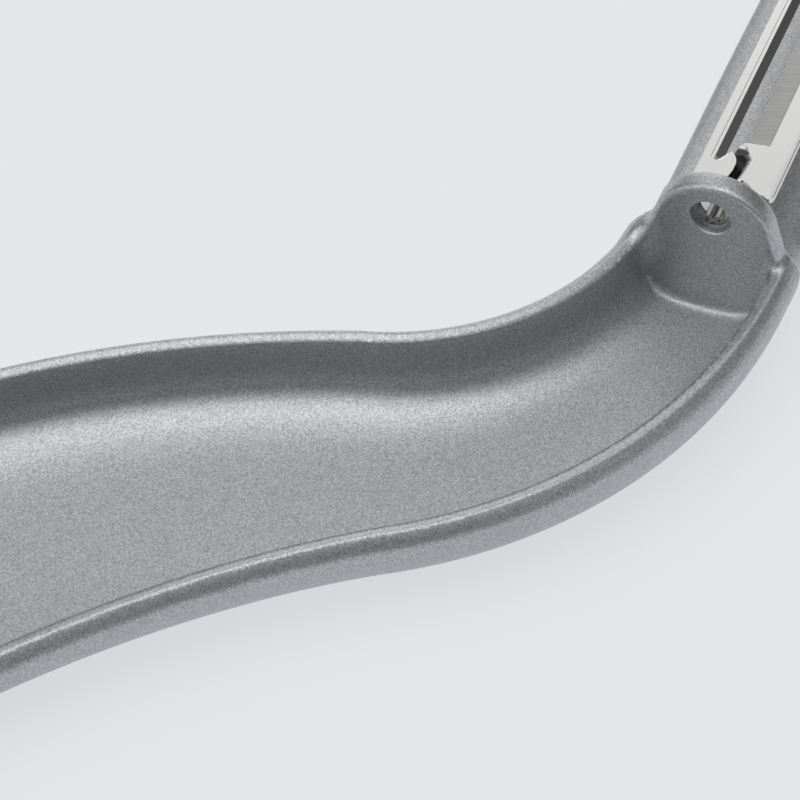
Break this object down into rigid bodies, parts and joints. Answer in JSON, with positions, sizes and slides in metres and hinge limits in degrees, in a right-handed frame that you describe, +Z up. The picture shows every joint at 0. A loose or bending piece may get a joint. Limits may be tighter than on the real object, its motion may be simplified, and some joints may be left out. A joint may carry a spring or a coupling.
{
  "type": "vegetable peeler",
  "caption": "Vegetable peeler lying on its back: S-curved trough-shaped cast aluminium handle with a bow, and a slotted steel blade swinging freely between its ears.",
  "frame": {"origin": "on the table, below the middle of the whole outline, with the peeler lying on its closed back", "axes": "+X along the blade's pivot axis towards the tip, +Z up out of the open trough, +Y to the side that the handle sweeps towards"},
  "size_m": [0.1551, 0.0891, 0.0189],
  "materials": {
    "casting": "die-cast, fine sand-textured silver coating",
    "blade_steel": "polished strip with a cross-ground bevel along the slot"
  },
  "bodies": {
    "handle": {"handle_casting": "casting"},
    "blade": {"blade": "blade_steel"}
  },
  "joints": [
    {"name": "blade_swing", "type": "hinge", "parent": "handle", "child": "blade", "pos_m": [0.0087, -0.0354, 0.0148], "axis": [1, 0, 0], "continuous": true}
  ]
}
